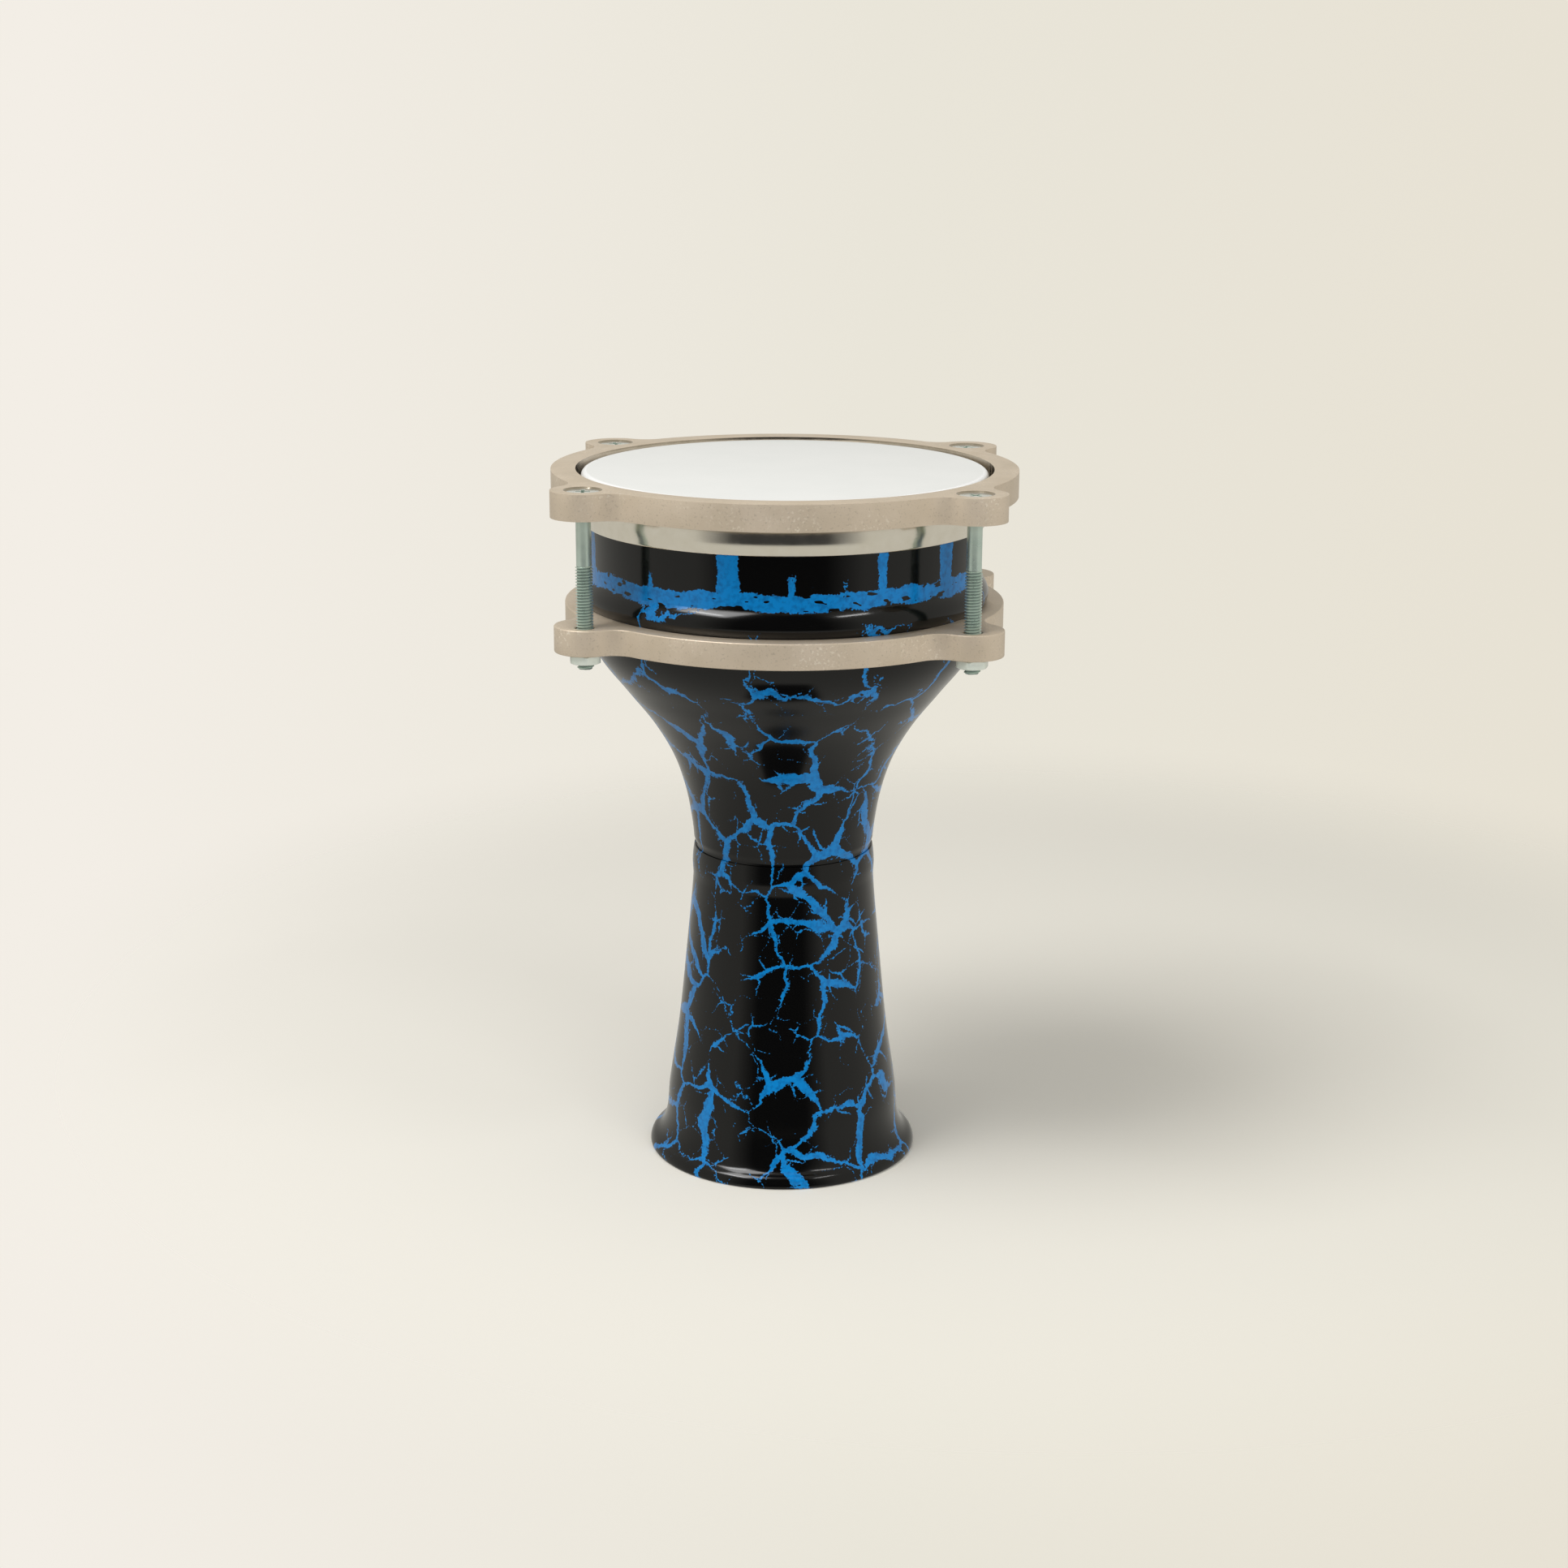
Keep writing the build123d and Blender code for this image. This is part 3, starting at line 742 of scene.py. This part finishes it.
# %% Crackle paint
def crackle_paint():
    """Gloss black crackle coat over a blue base coat."""
    material, tree = blank_material("gloss black crackle paint over blue")
    place = add(tree, "ShaderNodeTexCoord")["Object"]
    level = add(tree, "ShaderNodeSeparateXYZ", {"Vector": place})["Z"]
    flat = add(tree, "ShaderNodeVectorMath", {0: place, 1: (1, 1, 0)}, operation="MULTIPLY")[0]
    radius = add(tree, "ShaderNodeVectorMath", {0: flat}, operation="LENGTH")["Value"]
    uv = add(tree, "ShaderNodeUVMap", uv_map="wrap")[0]
    lie = add(tree, "ShaderNodeVectorMath", {0: uv, 1: (math.tau, math.tau, 0)}, operation="MULTIPLY")[0]
    turn = add(tree, "ShaderNodeSeparateXYZ", {"Vector": lie})["X"]
    turn = add(tree, "ShaderNodeMath", {0: turn, 1: math.pi}, operation="SUBTRACT")[0]
    seam = add(tree, "ShaderNodeMath", {0: turn}, operation="ABSOLUTE")[0]
    seam = add(tree, "ShaderNodeMath", {0: math.pi, 1: seam}, operation="SUBTRACT")[0]

    net = crack_net(tree, place, lie, radius, seam)
    closing = add(tree, "ShaderNodeMapRange", {
        "Value": level, "From Min": counter_top, "From Max": counter_top + 100 * MM, "To Max": 13 * MM})[0]
    net = add(tree, "ShaderNodeMath", {0: net, 1: closing}, operation="SUBTRACT")[0]
    band = torn_band(tree, place, level, radius, turn)
    cracks = add(tree, "ShaderNodeMath", {0: net, 1: band}, operation="MAXIMUM")[0]
    grains = add(tree, "ShaderNodeTexNoise", {"Vector": place, "Scale": 1 / (0.7 * MM)})["Fac"]
    torn = add(tree, "ShaderNodeMapRange", {
        "Value": grains, "To Min": -0.8 * MM, "To Max": 0.8 * MM}, clamp=False)[0]
    depth = add(tree, "ShaderNodeMath", {0: cracks, 1: torn}, operation="ADD")[0]
    bare = add(tree, "ShaderNodeMapRange", {"Value": depth, "From Min": -0.02 * MM, "From Max": 0.10 * MM})[0]

    shade = add(tree, "ShaderNodeTexNoise", {"Vector": place, "Scale": 1 / (1.8 * MM), "Detail": 3.0})["Fac"]
    shade = add(tree, "ShaderNodeMapRange", {"Value": shade, "From Min": 0.32, "From Max": 0.55})[0]
    blue = add(tree, "ShaderNodeMix", {
        0: shade, 6: linear("0064a2"), 7: linear("007ac0")}, data_type="RGBA")[2]
    colour = add(tree, "ShaderNodeMix", {0: bare, 6: linear("050505"), 7: blue}, data_type="RGBA")[2]
    gloss = add(tree, "ShaderNodeMapRange", {"Value": bare, "To Min": 0.13, "To Max": 0.20})[0]
    waves = add(tree, "ShaderNodeTexNoise", {"Vector": place, "Scale": 1 / (4.0 * MM), "Detail": 1.0})["Fac"]
    ripple = add(tree, "ShaderNodeMath", {0: waves, 1: 0.12}, operation="MULTIPLY")[0]
    height = add(tree, "ShaderNodeMath", {0: ripple, 1: bare}, operation="SUBTRACT")[0]
    bump = add(tree, "ShaderNodeBump", {"Height": height, "Strength": 0.5, "Distance": 0.08 * MM})[0]
    shader = add(tree, "ShaderNodeBsdfPrincipled", {
        "Base Color": colour, "Roughness": gloss, "IOR": 1.44, "Normal": bump})[0]
    add(tree, "ShaderNodeOutputMaterial", {"Surface": shader})
    return material


paint = crackle_paint()
print(paint.name, "has", len(paint.node_tree.nodes), "nodes")

# %% [markdown]
# The rings are sand-cast and lightly tumbled, and plated a warm silver. The eye sees a satin metal with a
# fine pitted grain of half a millimetre, cloudy patches a centimetre wide, darker pits, and a scatter of pale
# points inside some patches, which are painted glints of light on the grain. Their rounded edges are worn
# smoother, and the bevel's own faces take a smoother finish whose brighter tint is a painted highlight.
# The shell's inside is the same kind of casting left bare, greyer and rougher.

# %% Cast metal
LUMPS = {"cloud": (14, 3.0), "grain": (0.7, 3.0), "glint_speck": (0.9, 1.0), "patch": (16, 2.0)}  # mm, and detail


def cast_metal(name, light, dark, metallic, roughness, pits):
    """Sand-cast metal: two tints, how much of it mirrors, a roughness, and its pits in millimetres."""
    material, tree = blank_material(name)
    place = add(tree, "ShaderNodeTexCoord")["Object"]
    lumps = {}
    for kind, (width, detail) in LUMPS.items():
        lumps[kind] = add(tree, "ShaderNodeTexNoise", {
            "Vector": place, "Scale": 1 / (width * MM), "Detail": detail})[0]
    tint = add(tree, "ShaderNodeMix", {
        0: lumps["cloud"], 6: linear(dark), 7: linear(light)}, data_type="RGBA")[2]
    pitted = add(tree, "ShaderNodeMapRange", {
        "Value": lumps["grain"], "From Min": 0.42, "From Max": 0.30, "To Max": 0.22})[0]
    colour = add(tree, "ShaderNodeMix", {0: pitted, 6: tint, 7: linear("6f5f4c")}, data_type="RGBA")[2]
    # Pale points let in only inside some patches: painted glints of light on the grain.
    glint_patches = add(tree, "ShaderNodeMapRange", {
        "Value": lumps["patch"], "From Min": 0.48, "From Max": 0.68, "To Max": 0.45})[0]
    bright = add(tree, "ShaderNodeMapRange", {"Value": lumps["glint_speck"], "From Min": 0.60, "From Max": 0.66})[0]
    painted_glints = add(tree, "ShaderNodeMath", {0: glint_patches, 1: bright}, operation="MULTIPLY")[0]
    colour = add(tree, "ShaderNodeMix", {0: painted_glints, 6: colour, 7: linear("fff6e6")}, data_type="RGBA")[2]
    rough = add(tree, "ShaderNodeMapRange", {
        "Value": lumps["grain"], "From Min": 0.3, "From Max": 0.7,
        "To Min": roughness - 0.06, "To Max": roughness + 0.08})[0]
    bump = add(tree, "ShaderNodeBump", {"Height": lumps["grain"], "Strength": 0.6, "Distance": pits * MM})[0]
    shader = add(tree, "ShaderNodeBsdfPrincipled", {
        "Base Color": colour, "Metallic": metallic, "Roughness": rough, "Normal": bump})[0]
    add(tree, "ShaderNodeOutputMaterial", {"Surface": shader})
    return material


ring_metal = cast_metal("sand-cast alloy with a warm nickel plate", "e6d6c2", "cbbba3", 0.50, 0.46, 0.10)
# The edges are worn smoother; their paler tint is a painted highlight.
edge_metal_and_highlight = cast_metal("worn edges of the plated casting, with a painted highlight", "fff6e8", "dccdb6", 0.75, 0.30, 0.06)
bare_metal = cast_metal("bare cast aluminium", "b9b8b4", "8f8f8c", 0.70, 0.55, 0.25)
print("castings:", ring_metal.name, "|", edge_metal_and_highlight.name, "|", bare_metal.name)

# %% [markdown]
# The film is polyester coated satin white, as on practice and world-percussion heads. It is even, faintly
# mottled, and shows a soft broad sheen. The lock ring that hides in the gap round it is moulded nylon,
# coloured black as painted shade, so that the gap stays as dark as a deep shadow.
# The hoop is spun aluminium polished on the lathe: bright, with very fine rings round it.
# The upper ring's bore and countersinks are machined smooth, so they mirror the dark gap, and their tint is
# darker than the ring's, as painted shade in these recesses.
# The screws and nuts are plated with blue-green passivated zinc, a thin film that scatters some light, so
# they mirror less than bare metal does. The tops of the heads take a brighter silver tint, a painted
# highlight, and the nuts take a paler copy of the plate, painted light that makes them look brightly lit.

# %% Plastics, polished hoop and zinc
def plastic(name, light, dark, roughness, tooth):
    """A plastic with two close tints, a roughness, and a surface tooth of some millimetres."""
    material, tree = blank_material(name)
    place = add(tree, "ShaderNodeTexCoord")["Object"]
    mottle = add(tree, "ShaderNodeTexNoise", {"Vector": place, "Scale": 1 / (18 * MM)})["Fac"]
    grit = add(tree, "ShaderNodeTexNoise", {"Vector": place, "Scale": 1 / (tooth * MM)})["Fac"]
    colour = add(tree, "ShaderNodeMix", {0: mottle, 6: linear(dark), 7: linear(light)}, data_type="RGBA")[2]
    bump = add(tree, "ShaderNodeBump", {"Height": grit, "Strength": 0.15, "Distance": 0.02 * MM})[0]
    shader = add(tree, "ShaderNodeBsdfPrincipled", {
        "Base Color": colour, "Roughness": roughness, "IOR": 1.57, "Normal": bump})[0]
    add(tree, "ShaderNodeOutputMaterial", {"Surface": shader})
    return material


def polished_metal(name, light, dark, metallic, roughness, line_height):
    """Turned metal with fine tool marks, which repeat every few tenths of a millimetre upwards."""
    material, tree = blank_material(name)
    place = add(tree, "ShaderNodeTexCoord")["Object"]
    along = add(tree, "ShaderNodeMapping", {"Vector": place, "Scale": (0.02, 0.02, 1)})[0]
    marks = add(tree, "ShaderNodeTexNoise", {"Vector": along, "Scale": 1 / (line_height * MM)})["Fac"]
    stain = add(tree, "ShaderNodeTexNoise", {"Vector": place, "Scale": 1 / (5 * MM), "Detail": 3.0})["Fac"]
    colour = add(tree, "ShaderNodeMix", {0: stain, 6: linear(dark), 7: linear(light)}, data_type="RGBA")[2]
    rough = add(tree, "ShaderNodeMapRange", {
        "Value": stain, "From Min": 0.3, "From Max": 0.7,
        "To Min": roughness * 0.8, "To Max": roughness * 1.25})[0]
    bump = add(tree, "ShaderNodeBump", {"Height": marks, "Strength": 0.25, "Distance": 0.02 * MM})[0]
    shader = add(tree, "ShaderNodeBsdfPrincipled", {
        "Base Color": colour, "Metallic": metallic, "Roughness": rough, "Normal": bump})[0]
    add(tree, "ShaderNodeOutputMaterial", {"Surface": shader})
    return material


film_plastic = plastic("satin white polyester film", "eeeeeb", "e8e9e6", 0.38, 0.35)
# The rim's whiter tint is a painted highlight on the film's round corner.
rim_plastic_highlight = plastic("polyester film where it is pressed round the rim", "ffffff", "fdfdfb", 0.25, 0.35)
# The ring's black is painted shade: it keeps the narrow gap round the film dark.
nylon = plastic("moulded nylon, black as painted shade in the gap", "1c1c1b", "121212", 0.55, 0.6)
hoop_metal = polished_metal("spun aluminium, polished", "f9f4e9", "e8e1d2", 1.00, 0.15, 0.25)
# The polish is real; the tint, darker than the ring's, is painted shade in the recesses.
bore_metal_and_shade = polished_metal("machined bore of the plated casting", "cfc3b0", "aa9e8b", 1.00, 0.16, 0.25)
zinc = polished_metal("blue-green zinc plate on steel", "d4e2d6", "b0c3b9", 0.65, 0.30, 0.40)
# The heads' brighter tint is a painted highlight on their tops.
zinc_head_highlight = polished_metal("zinc plate on the heads, brighter as a painted highlight", "fbfbf6", "e0e3dc", 0.75, 0.20, 0.40)
# The root's darker tint is painted shade in the thread's groove.
root_zinc_shade = polished_metal("zinc plate, darker in the thread's root as painted shade", "8d9c95", "6e7d76", 0.45, 0.42, 0.40)
# The nuts' paler plate is painted light: a brighter copy of the zinc, so that they look lit.
nut_zinc_painted_light = polished_metal("zinc plate on the nuts, paler as painted light", "eef2e8", "d3dcd0", 0.35, 0.32, 0.40)
print("finishes:", len(bpy.data.materials))

# %% [markdown]
# Every piece now gets its finishes and the body it moves with, and the frame node it stands for is hidden.
# Some faces then take a further finish of their piece: the bare walls inside the shell, the film's pressed
# rim, the ring's bores and the tops of the screws.

# %% Finish and body for every piece
INWARDS = -0.05          # a face looks at the axis when its normal points in by more than this
STEEP = 0.5              # a wall's normal rises or dips by less than this
NEAR = 0.05 * MM


def fit(piece, body, node, slot, *materials):
    """Give a piece its finishes and its place in the model."""
    for material in materials:
        piece.data.materials.append(material)
    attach(piece, body)
    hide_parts(node)


fit(bowl, "shell", "shell_bowl", "shell_paint", paint, bare_metal)
fit(stem, "shell", "shell_stem", "shell_paint", paint, bare_metal)
fit(counter_ring, "shell", "counter_ring", "cast_ring", ring_metal, edge_metal_and_highlight)
fit(tension_ring, "tension_ring", "tension_ring", "cast_ring", ring_metal, edge_metal_and_highlight, bore_metal_and_shade)
fit(film, "drumhead", "head_film", "head_film", film_plastic, rim_plastic_highlight)
fit(hoop, "drumhead", "head_hoop", "head_hoop", hoop_metal)
fit(lock_ring, "drumhead", "head_lock_ring", "lock_ring", nylon)
for corner in CORNERS:
    screw_name = f"tension_screw_{corner}"
    fit(screws[corner], screw_name, screw_name, "zinc_hardware", zinc, zinc_head_highlight, root_zinc_shade)
    fit(nuts[corner], "shell", f"tension_nut_{corner}", "zinc_hardware", nut_zinc_painted_light)


def refinish(piece, number, chosen):
    """Give the faces that a test picks another of the piece's finishes."""
    for face in piece.data.polygons:
        if chosen(face):
            face.material_index = number


def looks_inwards(face):
    """Whether a face of the shell is on its inner wall."""
    outwards = Vector((face.center.x, face.center.y, 0)).normalized()
    return face.normal.dot(outwards) < INWARDS


def in_a_bore(face):
    """Whether a face of the upper ring is in a countersink, a screw hole or the bore."""
    beside = min(math.dist(face.center.xy, place) for place in screw_places)
    upright = abs(face.normal.z) < STEEP
    return beside < COUNTERSINK - NEAR or (upright and face.center.xy.length < TENSION_BORE + NEAR)


refinish(bowl, 1, looks_inwards)
refinish(stem, 1, looks_inwards)
# The film's round corner takes the whiter finish, a painted highlight.
refinish(film, 1, lambda face: face.center.xy.length > flat_edge)
# Bores, holes and countersinks take the darker finish, painted shade in the recesses.
refinish(tension_ring, 2, in_a_bore)
for corner, place in zip(CORNERS, screw_places):
    # The tops of the heads take the brighter finish, a painted highlight.
    refinish(screws[corner], 1, lambda face: face.center.z > lip_bottom)
    # The thread's root takes the darker finish, painted shade in the groove.
    refinish(screws[corner], 2, lambda face: face.center.z < thread_top
             and math.dist(face.center.xy, place) < THREAD_ROOT + NEAR)

# %% [markdown]
# The drum stands on a plain pale floor. The floor fades out to the backdrop some way from the
# drum, so no horizon shows, and it is clear from below, so that the foot can be looked into.

# %% Floor
FADE_CENTRE = (0.08, 0.15, 0.0)      # behind the drum, where its shadow falls
FADE = (0.24, 0.46)                  # how far from there it starts and ends, in metres
material, tree = blank_material("pale studio floor")
place = add(tree, "ShaderNodeTexCoord")["Object"]
across = add(tree, "ShaderNodeSeparateXYZ", {"Vector": place})["X"]
share = add(tree, "ShaderNodeMapRange", {"Value": across, "From Min": -0.3, "From Max": 0.3})[0]
pale = add(tree, "ShaderNodeMix", {0: share, 6: linear("f1ede4"), 7: linear("ebe7dc")}, data_type="RGBA")[2]
away = add(tree, "ShaderNodeVectorMath", {0: place, 1: FADE_CENTRE}, operation="DISTANCE")["Value"]
fade = add(tree, "ShaderNodeMapRange", {
    "Value": away, "From Min": FADE[0], "From Max": FADE[1]}, interpolation_type="SMOOTHSTEP")[0]
below = add(tree, "ShaderNodeNewGeometry")["Backfacing"]
fade = add(tree, "ShaderNodeMath", {0: fade, 1: below}, operation="MAXIMUM")[0]
board = add(tree, "ShaderNodeBsdfDiffuse", {"Color": pale})[0]
clear = add(tree, "ShaderNodeBsdfTransparent")[0]
mixed = add(tree, "ShaderNodeMixShader", {0: fade, 1: board, 2: clear})[0]
add(tree, "ShaderNodeOutputMaterial", {"Surface": mixed})

clear_selection()
bpy.ops.mesh.primitive_circle_add(vertices=128, radius=3.0, fill_type="NGON")
floor = bpy.context.object
floor.name = "floor"
floor.visible_glossy = False
floor.data.materials.append(material)
print("floor normal:", tuple(floor.data.polygons[0].normal))

# %% [markdown]
# The backdrop is the world: a pale sheet for the camera, an even light for the shadows, and
# for what shines in gloss surfaces a pale room. The room has a dark end behind the camera,
# from just under the horizon to high up, and a dark patch low in front, where the table's
# edge would be. Dark shapes in a pale room are what gives gloss black its form.

# %% Backdrop
BACKDROP = ("f3eee6", "e9e5d9", "e7e1d3")    # left, middle and right
AMBIENT = "b1b1af"
ROOM = "c5c3bb"
DARK_END = "383838"
world = bpy.data.worlds.new("studio")
bpy.context.scene.world = world
world.use_nodes = True
sky = world.node_tree
sky.nodes.clear()
way = add(sky, "ShaderNodeTexCoord")["Generated"]
parts = add(sky, "ShaderNodeSeparateXYZ", {"Vector": way})
share = add(sky, "ShaderNodeMapRange", {"Value": parts["X"], "From Min": -0.29, "From Max": 0.29})[0]
sheet = add(sky, "ShaderNodeValToRGB", {"Fac": share})[0]
sheet.node.color_ramp.elements.new(0.5)
for stop, code in zip(sheet.node.color_ramp.elements, BACKDROP):
    stop.color = linear(code)

flat = add(sky, "ShaderNodeVectorMath", {0: way, 1: (1, 1, 0)}, operation="MULTIPLY")[0]
heading = add(sky, "ShaderNodeVectorMath", {0: flat}, operation="NORMALIZE")[0]
front = add(sky, "ShaderNodeSeparateXYZ", {"Vector": heading})["Y"]
beside = add(sky, "ShaderNodeMath", {0: parts["X"]}, operation="ABSOLUTE")[0]
# Each soft edge: what it measures, where it starts and where it is full.
EDGES = {
    "behind": (front, -0.66, -0.90), "low": (parts["Z"], -0.36, -0.30), "high": (parts["Z"], 0.95, 0.88),
    "under": (parts["Z"], -0.84, -0.89), "near": (parts["Y"], -0.01, -0.06), "inside": (beside, 0.24, 0.20),
}
soft = {name: add(sky, "ShaderNodeMapRange", {"Value": value, "From Min": start, "From Max": full})[0]
        for name, (value, start, full) in EDGES.items()}
far_end = add(sky, "ShaderNodeMath", {0: soft["low"], 1: soft["high"]}, operation="MULTIPLY")[0]
far_end = add(sky, "ShaderNodeMath", {0: far_end, 1: soft["behind"]}, operation="MULTIPLY")[0]
patch = add(sky, "ShaderNodeMath", {0: soft["under"], 1: soft["near"]}, operation="MULTIPLY")[0]
patch = add(sky, "ShaderNodeMath", {0: patch, 1: soft["inside"]}, operation="MULTIPLY")[0]
dark = add(sky, "ShaderNodeMath", {0: far_end, 1: patch}, operation="MAXIMUM")[0]
shine = add(sky, "ShaderNodeMix", {0: dark, 6: linear(ROOM), 7: linear(DARK_END)}, data_type="RGBA")[2]
ray = add(sky, "ShaderNodeLightPath")
even = add(sky, "ShaderNodeMix", {0: ray["Is Glossy Ray"], 6: linear(AMBIENT), 7: shine}, data_type="RGBA")[2]
seen = add(sky, "ShaderNodeMix", {0: ray["Is Camera Ray"], 6: even, 7: sheet}, data_type="RGBA")[2]
glow = add(sky, "ShaderNodeBackground", {"Color": seen})[0]
add(sky, "ShaderNodeOutputWorld", {"Surface": glow})
print("world nodes:", len(sky.nodes))

# %% [markdown]
# One large soft light from the upper left throws the shadow to the right and back.
# Two narrow boxes high in front give the broken streaks on the bead and the foot.

# %% Lights
LIGHT_AIM = Vector((0, 0, 0.15))


def soft_box(name, turn, lift, away, size, power):
    """An area light that looks at the drum from a turn and a lift in degrees."""
    light = bpy.data.lights.new(name, "AREA")
    light.shape = "RECTANGLE"
    light.size, light.size_y = size
    light.energy = power
    lamp = bpy.data.objects.new(name, light)
    bpy.context.collection.objects.link(lamp)
    turn, lift = math.radians(turn), math.radians(lift)
    back = Vector((math.sin(turn) * math.cos(lift), -math.cos(turn) * math.cos(lift), math.sin(lift)))
    facing = back.to_track_quat("Z", "Y").to_matrix().to_4x4()
    lamp.matrix_world = Matrix.Translation(LIGHT_AIM + back * away) @ facing
    lamp.visible_camera = False
    return lamp


soft_box("key", -56, 60, 1.7, (0.80, 0.80), 15.4)
soft_box("left_strip", -54, 52, 1.3, (0.34, 0.05), 1.0)
soft_box("right_strip", 52, 52, 1.3, (0.34, 0.05), 1.0)
soft_box("front_fill", 24, 12, 1.8, (1.2, 0.8), 13.5).visible_glossy = False

# %% [markdown]
# The camera is a short telephoto a little under a metre away, a little above the drum.

# %% Camera
LENS = 61.9
CAMERA_PLACE = (0.0343, -0.9360, 0.3943)
CAMERA_TURN = 2.09       # degrees towards the left
CAMERA_DIP = 15.38
CAMERA_ROLL = 0.25
lens = bpy.data.cameras.new("camera")
lens.lens = LENS
lens.sensor_width = 36
camera = bpy.data.objects.new("camera", lens)
bpy.context.collection.objects.link(camera)
tilt = Matrix.Rotation(math.radians(90 - CAMERA_DIP), 4, "X")
aim = Matrix.Rotation(math.radians(CAMERA_TURN), 4, "Z")
roll = Matrix.Rotation(math.radians(CAMERA_ROLL), 4, "Z")
camera.matrix_world = Matrix.Translation(CAMERA_PLACE) @ aim @ tilt @ roll
bpy.context.scene.camera = camera
bpy.context.scene.view_settings.view_transform = "Standard"

# %% [markdown]
# Last, the scene is brought up to date.

# %% The end
bpy.context.view_layer.update()
